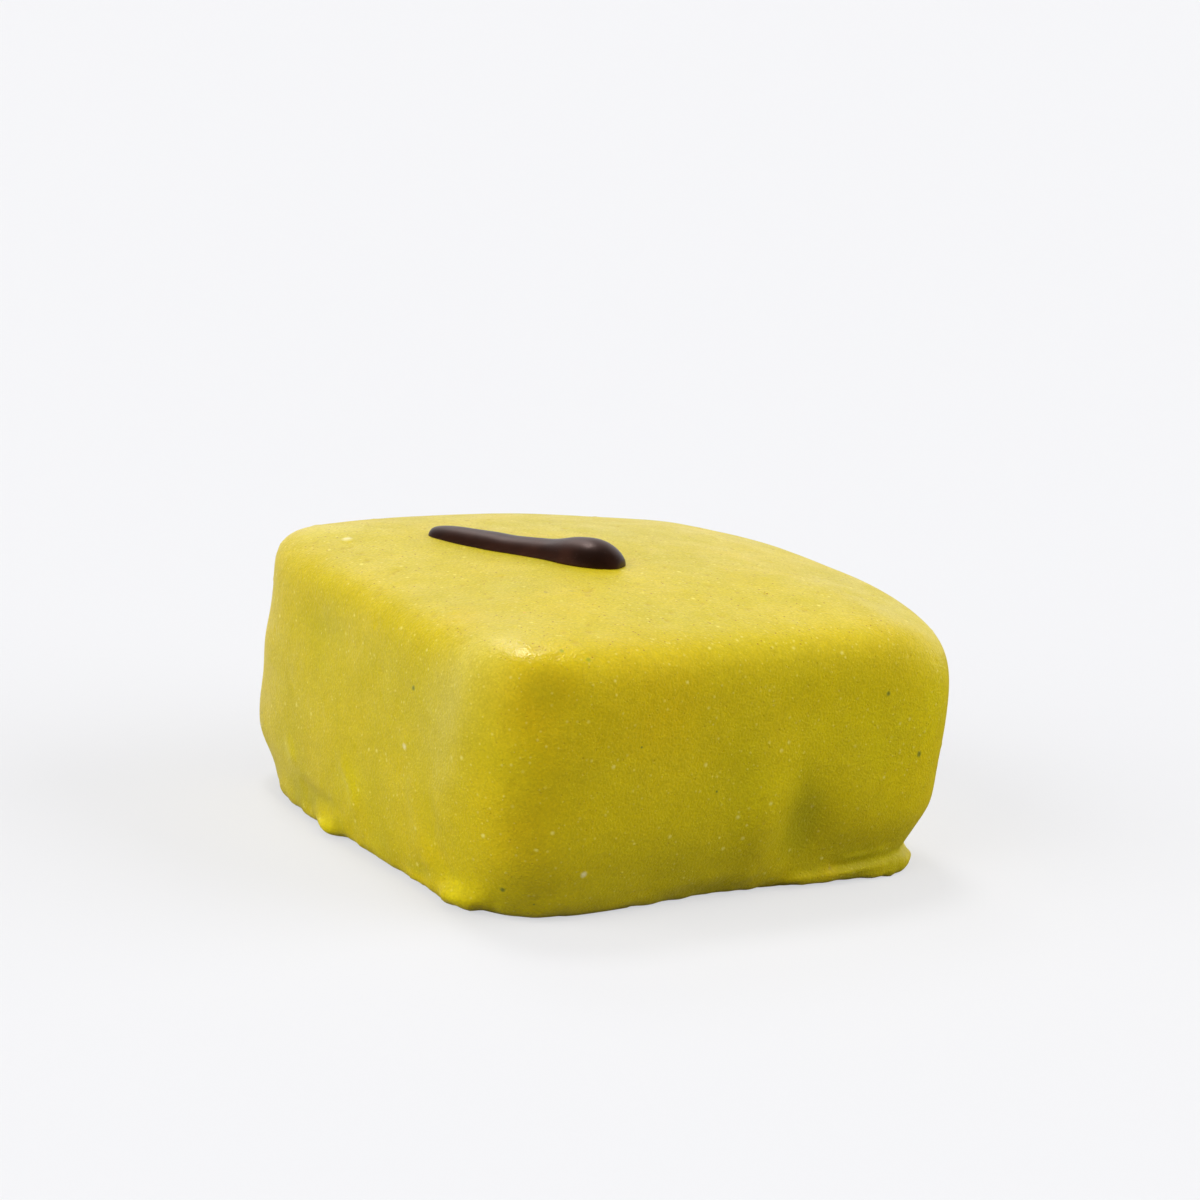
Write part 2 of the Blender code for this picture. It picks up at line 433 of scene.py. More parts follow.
# %% Folds, in mm: width, height, and the places that they run through
FOLDS = (
    # The left corner: fuller at mid height, and flatter over its undercut
    (1.5, 0.13, (-16.9, 13.4, 9.8), (-16.6, 14.4, 9.4)),
    (1.6, -0.17, (-17.4, 12.6, 5.2), (-17.0, 14.6, 4.6)),
    # The dent under the near corner
    (1.5, -0.10, (-15.1, -16.3, 14.6), (-15.0, -16.5, 13.6)),
    # The ridge down the left of the near corner, and the shallow valley beside it
    (1.5, 0.13, (-18.0, -12.8, 14.6), (-18.0, -12.4, 10.2), (-17.6, -11.0, 6.0)),
    (1.8, -0.08, (-18.0, -8.4, 13.0), (-18.0, -7.6, 10.0), (-17.9, -7.0, 7.0)),
    # The drip on the front, and the soft start of the hollow beside it
    (1.1, 0.09, (-0.5, -17.8, 9.6), (-0.1, -17.9, 7.0), (0.5, -17.2, 3.6)),
    (1.7, 0.16, (3.8, -17.3, 9.2), (4.6, -17.2, 7.0)),
    # The rim of the lip at the right, the crease above it, and a second rim behind
    (0.30, 0.22, (4.4, -16.0, 0.6), (8.5, -16.3, 0.8), (11.4, -16.1, 0.9), (15.0, -14.6, 1.1)),
    (0.26, -0.16, (7.4, -16.2, 1.2), (9.8, -16.1, 1.4), (14.2, -15.2, 1.6)),
    (0.30, 0.10, (8.2, -16.1, 1.7), (11.4, -16.1, 2.0), (13.3, -15.5, 2.1)),
    # Where the lip runs round the right corner: the notch above it, its rim, and the slope above both
    (0.60, -0.50, (14.6, -15.2, 1.4), (16.0, -13.8, 1.5), (16.9, -12.0, 1.6)),
    (0.70, 0.32, (12.6, -15.8, 0.4), (14.8, -14.6, 0.4), (16.2, -12.8, 0.4)),
    (1.30, -0.22, (15.2, -14.9, 2.6), (16.6, -13.0, 2.6)),
    # The lobes at the left, with a smear above them
    (0.80, -0.22, (-18.1, 2.9, 1.3), (-18.1, 1.9, 1.2)),
    (0.38, 0.18, (-17.9, 4.4, 1.0), (-18.1, 2.8, 0.6), (-18.0, 1.2, 0.5)),
    (0.30, 0.12, (-17.6, 0.6, 0.5), (-17.5, -0.8, 0.5)),
    (0.5, 0.14, (-17.9, 0.8, 5.2), (-17.9, -0.3, 3.9), (-17.8, -0.6, 3.0)),
    (0.5, 0.10, (-17.7, 8.4, 4.3), (-17.6, 7.9, 3.5)),
    (0.4, -0.12, (-17.6, 6.4, 2.2), (-17.6, 3.9, 2.0), (-17.7, 1.0, 2.0)),
    # The fold that runs down to the lobe under the near corner, with a hollow on either side
    (0.8, 0.12, (-17.9, -7.4, 6.4), (-17.7, -8.2, 3.2), (-17.6, -9.8, 1.2)),
    (0.7, 0.36, (-17.5, -11.4, 0.6), (-17.0, -13.1, 0.6)),
    (0.7, -0.22, (-16.4, -14.7, 0.5), (-15.6, -15.6, 0.5)),
    (0.6, -0.12, (-17.8, -9.6, 5.6), (-17.7, -9.9, 3.4), (-17.6, -11.2, 2.2)),
)
print("folds:", len(FOLDS))

# %% How far the folds lift the skin, unevenly near the foot
FOLD_REACH = 2.5
FOLD_UNEVENNESS = 0.9
FOLD_UNEVENNESS_SIZE = 0.9 * MM


def distance_to_line(place, start, end):
    """Distance in mm from a place in metres to a straight line between two places in mm."""
    start, end = Vector(start), Vector(end)
    along = end - start
    share = limited((place / MM - start).dot(along) / along.length_squared)
    return (place / MM - start - along * share).length


def fold_height(place):
    height = 0.0
    for width, out, *line in FOLDS:
        away = min(distance_to_line(place, start, end) for start, end in zip(line, line[1:]))
        if away < FOLD_REACH * width:
            height += out * math.exp(-((away / width) ** 2))
    low_down = math.exp(-((place.z / FOOT_REACH) ** 2))
    broken = 1 + FOLD_UNEVENNESS * low_down * noise.noise(place / FOLD_UNEVENNESS_SIZE)
    return height * broken * MM


print("a fold reaches, in widths:", FOLD_REACH)

# %% Large crumbs, in mm: place, radius, height
LARGE_CRUMBS = (
    (-13.96, 9.43, 17.1, 0.65, 0.15),
    (-13.92, 0.72, 17.1, 0.5, 0.07),
    (-17.81, -9.63, 4.9, 0.35, 0.08),
    (-17.95, -6.19, 8.5, 0.55, 0.06),
    (-17.96, -8.63, 7.2, 0.4, 0.05),
    (-13.88, -16.27, 15.9, 0.35, 0.06),
    (-14.71, -15.38, 16.3, 0.35, 0.06),
    (-11.33, -17.47, 13.5, 0.4, 0.05),
    (-8.60, -17.57, 10.4, 0.4, 0.06),
    (-11.86, -16.98, 3.2, 0.45, 0.06),
    (-9.08, -16.87, 15.8, 0.35, 0.05),
    (-6.61, -17.02, 15.6, 0.35, 0.05),
    (-15.68, -6.97, 16.7, 0.4, 0.08),
    (-16.10, -7.90, 16.6, 0.35, 0.07),
    (-16.38, -8.96, 16.5, 0.4, 0.08),
)
print("large crumbs:", len(LARGE_CRUMBS))

# %% Scattered crumbs and pits
SCATTER_SEED = 7
CRUMB_COUNT = 260
CRUMB_RADIUS = (0.27 * MM, 0.46 * MM)
CRUMB_SHARE_HIGH = 0.10
PIT_COUNT = 300
PIT_RADIUS = (0.26 * MM, 0.36 * MM)
PIT_SHARE_DEEP = 0.20


def raise_round(tree, middle, radius, height, heights, nearness):
    """Adds one round bump: its height, and for each point how near it is to the middle."""
    for _, index, away in tree.find_range(middle, radius):
        fall = 0.5 + 0.5 * math.cos(math.pi * away / radius)
        heights[index] = max(heights[index], height * fall)
        nearness[index] = max(nearness[index], fall)


def scatter(tree, count, radii, share):
    """Round bumps at random points of the skin."""
    heights, nearness = [0.0] * len(points), [0.0] * len(points)
    for _ in range(count):
        middle = points[random.randrange(len(points))]
        radius = random.uniform(*radii)
        raise_round(tree, middle, radius, share * radius, heights, nearness)
    return heights, nearness


tree = KDTree(len(points))
for index, point in enumerate(points):
    tree.insert(point, index)
tree.balance()
random.seed(SCATTER_SEED)
crumb_heights, crumbs = scatter(tree, CRUMB_COUNT, CRUMB_RADIUS, CRUMB_SHARE_HIGH)
pit_depths, pits = scatter(tree, PIT_COUNT, PIT_RADIUS, PIT_SHARE_DEEP)
for x, y, z, radius, height in LARGE_CRUMBS:
    middle = tree.find(Vector((x, y, z)) * MM)[0]
    raise_round(tree, middle, radius * MM, height * MM, crumb_heights, crumbs)
print("crumbs:", CRUMB_COUNT + len(LARGE_CRUMBS), "pits:", PIT_COUNT)

# %% Undercuts along the foot, in mm: place in plan, reach, depth
UNDERCUTS = (
    (-17.3, 1.0, 1.8, 0.55),
    (-17.2, -8.0, 2.6, 0.60),
    (-16.8, -12.0, 2.4, 0.55),
    (-12.5, -16.4, 2.2, 0.30),
    (8.5, -16.0, 4.2, 0.60),
    (14.8, -14.4, 2.8, 0.50),
    (16.6, -9.0, 4.0, 0.50),
    (17.2, 3.0, 3.0, 0.50),
    (12.0, 16.6, 4.0, 0.55),
    (-4.0, 17.0, 4.0, 0.45),
    (-14.6, 14.6, 3.0, 0.45),
)
EVERYWHERE_UNDERCUT = 0.16
UNDERCUT_HEIGHT = 0.55 * MM
TOO_LITTLE = 0.01


def undercut(place):
    """How far a point of the foot moves in under the lobes, level with the floor."""
    low_down = math.exp(-((place.z / UNDERCUT_HEIGHT) ** 2))
    if low_down < TOO_LITTLE:
        return Vector((0, 0, 0))
    depth = EVERYWHERE_UNDERCUT
    for x, y, reach, deepest in UNDERCUTS:
        away = math.hypot(place.x / MM - x, place.y / MM - y) / reach
        depth = max(depth, deepest * math.exp(-(away**2)))
    return Vector((-place.x, -place.y, 0)).normalized() * depth * low_down * MM


print("undercuts:", len(UNDERCUTS))

# %% The finished skin
BASE_HEIGHT = 0.12 * MM


def lift(index):
    """How far a point of the skin moves out."""
    place = points[index]
    return wave_height(place) + fold_height(place) + crumb_heights[index] - pit_depths[index]


for index, vert in enumerate(bm.verts):
    out = lift(index) if points[index].z > BASE_HEIGHT else 0.0
    vert.co = points[index] + normals[index] * out + undercut(points[index])
    vert.co.z = max(vert.co.z, 0.0)
bm.to_mesh(skin.data)
bm.free()
skin.data.shade_smooth()
print("skin, mm:", [round(side / MM, 2) for side in skin.dimensions])

# %% [markdown]
# ## The dipped skin, step 4: what the finish has to know
#
# The finish is a material, which sees only one point at a time. What it has to know about the shape is
# stored on the skin's points as attributes: the crumbs, the pits, the thin and thick places, and five kinds
# of stain. The ochre stains are dents where the dip barely covered the sweet. The bright ones are partly
# lobes and smears of pure coating, thin enough for light to shine through, and partly painted light on
# lobes, ridges and faces that catch it. One kind is painted shade: darker green put into hollows and
# undercuts, the dent under the near corner and the underside of the lip, where shade falls. One is a
# painted sheen: a pale haze put round the near corner, where the surface mirrors the light. The smooth
# ones are edges that were rubbed, which have a clearer gloss.

# %% Stains, in mm: place, spread, strength
STAINS = {
    "ochre": (
        (-15.3, -16.4, 13.6, 2.6, 0.75),
        (-15.0, -16.3, 14.5, 1.6, 0.50),
        (-14.0, -16.9, 10.5, 2.2, 0.35),
        (-15.9, -16.5, 5.6, 2.8, 0.60),
        (-16.0, -7.9, 16.6, 1.5, 0.60),
        (-8.0, -17.0, 15.4, 3.0, 0.35),
        (11.0, -17.0, 14.6, 3.2, 0.35),
        (-8.5, -17.4, 12.5, 4.0, 0.40),
        (7.3, -16.1, 1.1, 0.7, 0.90),
    ),
    # Partly thin see-through coating, partly painted light on lobes, the drip's ridge and the front's right
    # side
    "bright": (
        (-13.6, 12.1, 17.1, 1.8, 0.50),
        (-18.1, 2.9, 0.6, 0.75, 0.90),
        (-18.0, 2.1, 0.6, 0.6, 0.50),
        (-17.9, -0.2, 4.2, 1.2, 0.60),
        (-17.6, 8.2, 3.9, 0.8, 0.60),
        (-17.3, -12.1, 1.0, 1.1, 0.70),
        (0.3, -17.8, 7.6, 1.9, 0.55),
        (8.5, -17.4, 9.5, 5.5, 0.30),
        (14.5, -16.4, 12.0, 3.5, 0.45),
        (-17.2, -3.0, 0.9, 1.4, 0.40),
    ),
    # Painted shade: darker green in hollows, undercuts, the dent under the near corner and under the lip
    "dull": (
        (-17.4, 7.0, 1.3, 1.4, 0.80),
        (-17.6, 4.8, 1.7, 0.9, 0.50),
        (-17.6, 1.2, 1.0, 0.6, 0.60),
        (3.8, -16.8, 5.0, 2.2, 0.38),
        (6.8, -16.4, 2.6, 2.4, 0.35),
        (9.5, -16.3, 0.7, 1.9, 0.55),
        (13.4, -15.6, 0.9, 2.0, 0.50),
        (-16.2, -14.9, 0.5, 1.0, 0.85),
        (9.5, -16.2, 0.3, 0.6, 0.60),
        (12.5, -15.8, 0.3, 0.7, 0.60),
        (-17.8, -4.6, 1.6, 1.5, 0.35),
        (-17.8, 6.0, 13.2, 3.2, 0.18),
        (-14.9, -16.5, 14.2, 1.4, 0.40),
    ),
    # A painted sheen: pale haze round the near corner, where the surface mirrors the light
    "hazy": (
        (-18.0, -11.2, 12.8, 2.4, 0.80),
        (-17.1, -12.3, 15.6, 2.1, 0.90),
        (-17.9, -10.4, 9.0, 2.2, 0.40),
    ),
    "smooth": (
        (-15.6, -14.6, 16.3, 1.2, 1.00),
        (-15.9, -13.2, 16.5, 1.1, 0.80),
        (-13.6, 12.1, 17.1, 1.6, 0.40),
    ),
}
print("stains:", {name: len(spots) for name, spots in STAINS.items()})

# %% The attributes
THIN_FROM = 2 * MM
THIN_OVER = 6 * MM
TOP_FROM = 15.6 * MM
TOP_OVER = 1.2 * MM


def stain(place, stains):
    total = 0.0
    for x, y, z, spread, strength in stains:
        away = (place / MM - Vector((x, y, z))).length / spread
        total += strength * math.exp(-(away**2))
    return limited(total)


def write_attribute(mesh, name, values):
    attribute = mesh.attributes.new(name, "FLOAT", "POINT")
    attribute.data.foreach_set("value", values)


attributes = {
    "crumbs": crumbs,
    "pits": pits,
    "thin": [share * limited((point.z - THIN_FROM) / THIN_OVER) for share, point in zip(thin, points)],
    "thick": thick,
    "top": [limited((point.z - TOP_FROM) / TOP_OVER) for point in points],
}
for name, spots in STAINS.items():
    attributes[name] = [stain(point, spots) for point in points]
for name, values in attributes.items():
    write_attribute(skin.data, name, values)
    print("attribute", name, "mean", round(sum(values) / len(values), 3))

# %% [markdown]
# ## The piped stem
#
# The chocolate was piped in one stroke: the nozzle touched down, left a blob, and lifted off in a thin
# tail. A bead turned round its own length has that outline at once. The bead is then laid along its line
# on the top, which bows a little, with its upper half kept round and its lower half pressed flat into the
# coating. A ray cast straight down finds the coating's height under each point, so the bead follows every
# wave of it.

# %% The stem's line, its sizes, and a turned bead
STEM_HEAD = Vector((-2.30 * MM, -4.62 * MM))
STEM_TAIL = Vector((-8.94 * MM, 7.32 * MM))
STEM_BOW = 0.48 * MM
STEM_WIDTH = 2.25 * MM
STEM_RISE = 0.86 * MM
BLOB_WIDTH = 1.75 * MM
BLOB_RISE = 0.90 * MM
BLOB_PLACE = 0.13
BLOB_SPREAD = 0.17
STEM_BLUNTNESS = 0.45
STEM_RINGS = 72
STEM_STEPS = 48


def stem_size(share, line, blob):
    """A size along the stem: that of the line, with the blob's added near the head."""
    return line + blob * math.exp(-(((share - BLOB_PLACE) / BLOB_SPREAD) ** 2))


def turned_bead():
    bm = bmesh.new()
    outline = [bm.verts.new((0, 0, 0))]
    for i in range(1, STEM_RINGS):
        turn = math.pi * i / STEM_RINGS
        outline.append(bm.verts.new((math.sin(turn) ** STEM_BLUNTNESS, 0, (1 - math.cos(turn)) / 2)))
    outline.append(bm.verts.new((0, 0, 1)))
    edges = [bm.edges.new(pair) for pair in zip(outline, outline[1:])]
    bmesh.ops.spin(
        bm,
        geom=outline + edges,
        cent=(0, 0, 0),
        axis=(0, 0, 1),
        angle=math.tau,
        steps=STEM_STEPS,
        use_merge=True,
    )
    bmesh.ops.remove_doubles(bm, verts=bm.verts[:], dist=MERGE_DISTANCE)
    return bm


bm = turned_bead()
print("points of the bead:", len(bm.verts))

# %% The bead laid on the coating
STEM_SUNK = 0.06 * MM
STEM_WAVE = 0.05
STEM_WAVE_SIZE = 0.12
RAY_START = 10 * MM


def lay_on_coating(bm, coating):
    """Lays the bead along its line, whose bow is widest half-way, and down on the coating."""
    sideways = Vector((STEM_HEAD.y - STEM_TAIL.y, STEM_TAIL.x - STEM_HEAD.x)).normalized()
    above_all = stem_high.z + RAY_START
    for vert in bm.verts:
        share = vert.co.z
        wave = 1 + STEM_WAVE * noise.noise(Vector((share / STEM_WAVE_SIZE, 0, 0)))
        across = vert.co.x * wave * stem_size(share, STEM_WIDTH, BLOB_WIDTH) / 2
        across += STEM_BOW * 4 * share * (1 - share)
        height = wave * stem_size(share, STEM_RISE, BLOB_RISE)
        spot = STEM_HEAD.lerp(STEM_TAIL, share) + sideways * across
        ground = coating.ray_cast(Vector((spot.x, spot.y, above_all)), Vector((0, 0, -1)))[0]
        above = max(vert.co.y, 0.0) * (height + STEM_SUNK) - STEM_SUNK
        vert.co = Vector((spot.x, spot.y, ground.z + above))
    bmesh.ops.recalc_face_normals(bm, faces=bm.faces[:])


coating = BVHTree.FromObject(skin, bpy.context.evaluated_depsgraph_get())
lay_on_coating(bm, coating)
stem_mesh = bpy.data.meshes.new("piped_stem")
bm.to_mesh(stem_mesh)
bm.free()
stem_mesh.shade_smooth()
stem = new_piece("piped_stem", stem_mesh)
print("stem, faces:", len(stem_mesh.polygons), "length, mm:", round((STEM_TAIL - STEM_HEAD).length / MM, 1))

# %% [markdown]
# ## Effects for the finishes
#
# Both finishes need the same effects: small round specks, a cloudiness of the colour, and single spots at
# given places. Each is a node group, built once with named inputs, and placed in a material with its own
# values. The specks come from a Voronoi texture: every cell has a middle, a share of the cells keeps a dot
# there, and the cell's random colour decides which, and how large the dot is. Textures are laid on a grid
# of cubes, and the sweet's walls stand along that grid, so it would show through as a faint weave. The
# textures are therefore read at coordinates turned by three odd angles.


# %% An empty group, and a soft dot
def new_group(name, inputs):
    group = bpy.data.node_groups.new(name, "ShaderNodeTree")
    group.interface.new_socket("Vector", in_out="INPUT", socket_type="NodeSocketVector")
    for socket, value in inputs.items():
        made = group.interface.new_socket(socket, in_out="INPUT", socket_type="NodeSocketFloat")
        made.default_value = value
    group.interface.new_socket("Mask", in_out="OUTPUT", socket_type="NodeSocketFloat")
    return group, group.nodes.new("NodeGroupInput").outputs, group.nodes.new("NodeGroupOutput").inputs


def soft_dot(tree, distance, radius, softness):
    """1 in the middle, 0 outside the radius, and smooth over the soft share of the radius."""
    core = math_node(tree, "MULTIPLY", radius, math_node(tree, "SUBTRACT", 1.0, softness))
    return map_range(tree, distance, (core, radius), (1.0, 0.0), "SMOOTHSTEP")


print("groups can be made")

# %% The specks
SMALLEST_SPECK = 0.4


def make_specks():
    group, given, result = new_group(
        "specks", {"Cells per metre": 1000.0, "Share kept": 0.5, "Radius": 0.3, "Softness": 0.6}
    )
    cells = group.nodes.new("ShaderNodeTexVoronoi")
    group.links.new(given["Vector"], cells.inputs["Vector"])
    group.links.new(given["Cells per metre"], cells.inputs["Scale"])
    chances = group.nodes.new("ShaderNodeSeparateColor")
    group.links.new(cells.outputs["Color"], chances.inputs["Color"])
    kept = math_node(group, "LESS_THAN", chances.outputs["Red"], given["Share kept"])
    size = math_node(group, "MULTIPLY_ADD", chances.outputs["Green"], 1 - SMALLEST_SPECK, SMALLEST_SPECK)
    radius = math_node(group, "MULTIPLY", size, given["Radius"])
    dot = soft_dot(group, cells.outputs["Distance"], radius, given["Softness"])
    group.links.new(math_node(group, "MULTIPLY", dot, kept), result["Mask"])
    return group


specks_group = make_specks()
print("node group:", specks_group.name)


# %% The cloudiness
MID_GREY = 0.5


def make_clouds():
    group, given, result = new_group("clouds", {"Clouds per metre": 150.0, "Detail": 3.0, "Contrast": 2.0})
    clouds = group.nodes.new("ShaderNodeTexNoise")
    group.links.new(given["Vector"], clouds.inputs["Vector"])
    group.links.new(given["Clouds per metre"], clouds.inputs["Scale"])
    group.links.new(given["Detail"], clouds.inputs["Detail"])
    centred = math_node(group, "SUBTRACT", clouds.outputs["Fac"], MID_GREY)
    spread = math_node(group, "MULTIPLY_ADD", centred, given["Contrast"], MID_GREY)
    clamped = group.nodes.new("ShaderNodeClamp")
    group.links.new(spread, clamped.inputs["Value"])
    group.links.new(clamped.outputs["Result"], result["Mask"])
    return group


clouds_group = make_clouds()
print("node group:", clouds_group.name)


# %% A single spot
def make_spot():
    group, given, result = new_group("spot", {"Radius": 0.2 * MM, "Softness": 0.7})
    group.interface.new_socket("Place", in_out="INPUT", socket_type="NodeSocketVector")
    away = vector_math(group, "DISTANCE", given["Vector"], given["Place"])
    dot = soft_dot(group, away, given["Radius"], given["Softness"])
    group.links.new(dot, result["Mask"])
    return group


spot_group = make_spot()
print("node group:", spot_group.name)


# %% Placing the effects in a material
def place_group(tree, group, vector, **values):
    node = tree.nodes.new("ShaderNodeGroup")
    node.node_tree = group
    tree.links.new(vector, node.inputs["Vector"])
    for socket, value in values.items():
        node.inputs[socket.replace("_", " ")].default_value = value
    return node.outputs["Mask"]


def specks(tree, vector, cells, share, radius, softness):
    return place_group(
        tree, specks_group, vector, Cells_per_metre=cells, Share_kept=share, Radius=radius, Softness=softness
    )


def clouds(tree, vector, size, contrast, detail):
    return place_group(
        tree, clouds_group, vector, Clouds_per_metre=1 / (size * MM), Contrast=contrast, Detail=detail
    )


def effects_of(tree, vector, all_clouds, all_specks):
    """Every effect of a finish, by name."""
    effects = {name: clouds(tree, vector, *values) for name, values in all_clouds.items()}
    effects.update((name, specks(tree, vector, *values)) for name, values in all_specks.items())
    return effects


def weighted(tree, effects, weights, start=0.0):
    """The start, plus each named effect times its weight."""
    total = start
    for name, weight in weights.items():
        total = math_node(tree, "MULTIPLY_ADD", effects[name], weight, total)
    return total


print("effects can be placed")


# %% A new finish
TEXTURE_TURN = (0.61, 0.83, 0.37)


def attribute_of(tree, name):
    node = tree.nodes.new("ShaderNodeAttribute")
    node.attribute_name = name
    return node.outputs["Fac"]


def add_bump(tree, height, strength, distance):
    bump = tree.nodes.new("ShaderNodeBump")
    bump.inputs["Strength"].default_value = strength
    bump.inputs["Distance"].default_value = distance
    tree.links.new(height, bump.inputs["Height"])
    return bump.outputs["Normal"]


def new_material(name):
    material = bpy.data.materials.new(name)
    material.use_nodes = True
    tree = material.node_tree
    place = tree.nodes.new("ShaderNodeTexCoord").outputs["Object"]
    turn = tree.nodes.new("ShaderNodeVectorRotate")
    turn.rotation_type = "EULER_XYZ"
    turn.inputs["Rotation"].default_value = TEXTURE_TURN
    tree.links.new(place, turn.inputs["Vector"])
    return material, tree, tree.nodes["Principled BSDF"], place, turn.outputs["Vector"]


print("textures turned by", TEXTURE_TURN)

# %% [markdown]
# ## The coating's finish
#
# The coating is cocoa butter with sugar, fruit powder and colour. It is a fatty, soft yellow-green that
# light enters a little way. Its colour drifts between green and gold, is warmer where the coating is thin,
# and greener where it is thick. Three of its slow colours are wholly or partly painted light: painted shade
# in hollows and undercuts, a paler coating that is partly painted light on lobes and ridges, and a painted
# sheen round the near corner. It is full of pale specks of sugar and almond and of dark pinholes, with a
# few dark grains of pigment. Its gloss is soft and patchy. Each of these is its own layer below, at its
# real size, and they are laid over each other from the slow ones to the fine ones.

# %% The coating's slow colours
COAT_GREEN = (0.64, 0.518, 0.001, 1)
COAT_GOLD = (0.74, 0.570, 0.001, 1)
COAT_THICK = (0.53, 0.455, 0.002, 1)
COAT_THIN = (0.71, 0.528, 0.002, 1)
COAT_OCHRE = (0.76, 0.52, 0.001, 1)
# Paler coating, partly painted light
COAT_BRIGHT_AND_LIT = (0.88, 0.75, 0.002, 1)
# Painted shade
COAT_PAINTED_SHADE = (0.40, 0.345, 0.002, 1)
# A painted sheen
COAT_PAINTED_SHEEN = (0.80, 0.70, 0.16, 1)
COAT_BLOOM = (0.72, 0.60, 0.008, 1)
# By attribute: how strongly it tints, and with what
SLOW_COLOURS = (
    ("thick", 0.8, COAT_THICK),
    ("thin", 0.7, COAT_THIN),
    ("ochre", 0.9, COAT_OCHRE),
    # Paler: partly see-through coating, partly painted light
    ("bright", 0.8, COAT_BRIGHT_AND_LIT),
    # Painted shade in hollows and undercuts
    ("dull", 1.0, COAT_PAINTED_SHADE),
    # Painted sheen round the near corner
    ("hazy", 0.4, COAT_PAINTED_SHEEN),
)


def slow_colours(tree, drift):
    colour = blend(tree, drift, COAT_GREEN, COAT_GOLD)
    for name, share, tint in SLOW_COLOURS:
        mask = math_node(tree, "MULTIPLY", attribute_of(tree, name), share)
        colour = blend(tree, mask, colour, tint)
    return colour


print("colours from", COAT_GREEN, "to", COAT_GOLD)

# %% Single grains, in mm: place, radius, and what they are
GRAINS = (
    (-17.96, -6.51, 12.15, 0.24, "pigment"),
    (-15.93, -14.96, 2.06, 0.24, "pigment"),
    (12.58, -17.19, 8.26, 0.30, "pigment"),
    (9.32, -17.46, 12.68, 0.22, "pigment"),
    (-3.18, -17.59, 7.66, 0.13, "pigment"),
    (-8.86, -17.56, 10.95, 0.11, "pigment"),
    (-12.49, -16.42, 16.09, 0.22, "leaf"),
    (-13.57, -15.50, 16.45, 0.20, "leaf"),
    (-8.23, -7.99, 17.74, 0.17, "husk"),
    (-9.73, -7.45, 17.63, 0.22, "husk"),
    (-12.73, -9.77, 17.24, 0.14, "zest"),
    (7.31, -16.11, 1.02, 0.22, "husk"),
    (-13.96, 9.43, 17.1, 0.50, "almond"),
    (-17.95, -6.19, 8.5, 0.30, "almond"),
    (-11.86, -16.98, 3.2, 0.30, "almond"),
)
GRAIN_COLOURS = {
    "pigment": (0.07, 0.13, 0.02, 1),
    "leaf": (0.30, 0.34, 0.01, 1),
    "husk": (0.42, 0.31, 0.04, 1),
    "almond": (0.88, 0.80, 0.42, 1),
    "zest": (0.75, 0.38, 0.02, 1),
}
GRAIN_SOFTNESS = 0.8
GRAIN_STRENGTH = 0.75


def single_grains(tree, place, colour):
    for x, y, z, radius, kind in GRAINS:
        middle = skin_tree.find(Vector((x, y, z)) * MM)[0]
        spot = place_group(tree, spot_group, place, Place=middle, Radius=radius * MM, Softness=GRAIN_SOFTNESS)
        spot = math_node(tree, "MULTIPLY", spot, GRAIN_STRENGTH)
        colour = blend(tree, spot, colour, GRAIN_COLOURS[kind])
    return colour


skin_tree = KDTree(len(skin.data.vertices))
for vert in skin.data.vertices:
    skin_tree.insert(vert.co, vert.index)
skin_tree.balance()
print("single grains:", len(GRAINS))

# %% The coating's textures
# Clouds: size in mm, contrast, detail
COATING_CLOUDS = {
    "drift": (7.0, 3.0, 3.0),
    "bloom": (3.2, 3.5, 3.0),
    "patchy": (2.2, 3.0, 3.0),
    "mottle": (0.7, 2.5, 3.0),
    "grain": (0.16, 3.0, 2.0),
}
# Specks: cells per metre, share of them kept, radius as a share of a cell, softness
COATING_SPECKS = {
    "sugar": (2300.0, 0.55, 0.34, 0.9),
    "flecks": (1100.0, 0.45, 0.24, 0.9),
    "dust": (6000.0, 0.45, 0.45, 0.7),
    "pinholes": (3400.0, 0.38, 0.29, 0.5),
    "pepper": (520.0, 0.10, 0.08, 0.5),
}
print("clouds:", list(COATING_CLOUDS), "specks:", list(COATING_SPECKS))

# %% The coating's fine colours: what each layer comes from, its weights, and its colour
TONE_DARK = (0.34, 0.255, 0.001, 1)
DUST_PALE = (0.90, 0.80, 0.02, 1)
SUGAR_PALE = (0.90, 0.82, 0.20, 1)
PIT_SHADE = (0.40, 0.20, 0.001, 1)
PALE_AND_DARK_LAYERS = (
    ({"bloom": 0.22}, COAT_BLOOM),
    ({"patchy": 0.09, "mottle": 0.11, "grain": 0.26}, TONE_DARK),
    ({"dust": 0.30, "crumbs": 0.06}, DUST_PALE),
    ({"sugar": 0.38, "flecks": 0.65}, SUGAR_PALE),
)
PIT_WEIGHTS = {"pinholes": 0.95, "pits": 0.30}
PITS_ON_WALLS = 0.25
MORE_PITS_ON_TOP = 1.05
PEPPER_WEIGHTS = {"pepper": 0.8}


def fine_colours(tree, effects, colour):
    for weights, tint in PALE_AND_DARK_LAYERS:
        colour = blend(tree, weighted(tree, effects, weights), colour, tint)
    by_height = weighted(tree, effects, {"top": MORE_PITS_ON_TOP}, PITS_ON_WALLS)
    pits = math_node(tree, "MULTIPLY", weighted(tree, effects, PIT_WEIGHTS), by_height)
    colour = blend(tree, pits, colour, PIT_SHADE)
    return blend(tree, weighted(tree, effects, PEPPER_WEIGHTS), colour, GRAIN_COLOURS["pigment"])


print("layers of colour:", len(PALE_AND_DARK_LAYERS) + 2)

# %% The coating's finish
COAT_ROUGHNESS = 0.37
ROUGHNESS_WEIGHTS = {"patchy": 0.10, "grain": 0.06, "sugar": -0.08, "smooth": -0.18}
HEIGHT_WEIGHTS = {"grain": 0.7, "mottle": 0.6, "sugar": 0.6, "dust": 0.6, "pinholes": -1.0}
FLATTER_WHERE_SMOOTH = {"smooth": -0.4}
COAT_BUMP = 0.6
COAT_BUMP_DEPTH = 0.04 * MM


